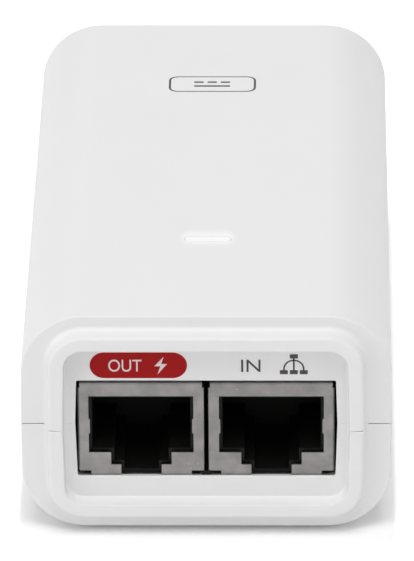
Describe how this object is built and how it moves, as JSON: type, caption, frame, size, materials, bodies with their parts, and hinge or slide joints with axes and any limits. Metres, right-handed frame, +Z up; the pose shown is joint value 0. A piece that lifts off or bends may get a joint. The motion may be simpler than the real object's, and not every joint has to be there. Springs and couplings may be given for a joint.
{
  "type": "poe injector",
  "caption": "Small white mains power-over-Ethernet injector: rounded two-shell block with rimmed front recess, shielded network jacks side by side, lit bar in the lid and a mains inlet behind.",
  "frame": {"origin": "middle of the underside of the case", "axes": "+X to the right seen from the jacks, +Y from the jacks towards the mains inlet, +Z up through the lid"},
  "size_m": [0.046, 0.087, 0.0296],
  "materials": {
    "shell_white": "fine matt white moulding",
    "light_guide": "clear diffusing moulding, lit white",
    "lamp": "lamp package",
    "board_green": "solder-masked board",
    "nickel_sheet": "nickel-plated stamped sheet",
    "black_moulding": "black moulding",
    "gold_wire": "gold-plated spring wire",
    "plated_pin": "nickel-plated brass",
    "chip_black": "moulded package",
    "can_sleeve": "shrunk sleeve",
    "ferrite": "sintered grey-black",
    "enamelled_copper": "enamelled copper wire",
    "yellow_tape": "polyester tape over the winding",
    "blue_coat": "dipped coating",
    "yellow_box": "moulded box",
    "ceramic_tube": "unglazed tube"
  },
  "bodies": {
    "injector": {"top_case": "shell_white", "bottom_case": "shell_white", "light_pipe": "light_guide", "indicator_lamp": "lamp", "circuit_board": "board_green", "poe_jack_shield": "nickel_sheet", "poe_jack_housing": "black_moulding", "poe_jack_insert": "black_moulding", "lan_jack_shield": "nickel_sheet", "lan_jack_housing": "black_moulding", "lan_jack_insert": "black_moulding", "inlet_body": "black_moulding", "inlet_live_pin": "plated_pin", "inlet_neutral_pin": "plated_pin", "inlet_earth_pin": "plated_pin", "lan_magnetics": "chip_black", "output_capacitor_left": "can_sleeve", "output_capacitor_right": "can_sleeve", "output_inductor": "ferrite", "output_rectifier": "chip_black", "optocoupler": "chip_black", "safety_capacitor": "blue_coat", "controller": "chip_black", "bulk_capacitor": "can_sleeve", "transformer_core": "ferrite", "transformer_bobbin": "black_moulding", "transformer_winding": "yellow_tape", "film_capacitor": "yellow_box", "choke_core": "ferrite", "choke_winding_left": "enamelled_copper", "choke_winding_right": "enamelled_copper", "bridge_rectifier": "chip_black", "fuse": "ceramic_tube", "varistor": "blue_coat"},
    "poe_contacts": {"poe_jack_contacts": "gold_wire"},
    "lan_contacts": {"lan_jack_contacts": "gold_wire"}
  },
  "joints": [
    {"name": "poe_contact_flex", "type": "hinge", "parent": "injector", "child": "poe_contacts", "pos_m": [-0.0081, -0.03698, 0.01792], "axis": [1, 0, 0], "range_deg": [0, 14], "stiffness_Nm_per_rad": 0.2},
    {"name": "lan_contact_flex", "type": "hinge", "parent": "injector", "child": "lan_contacts", "pos_m": [0.0081, -0.03698, 0.01792], "axis": [1, 0, 0], "range_deg": [0, 14], "stiffness_Nm_per_rad": 0.2}
  ]
}
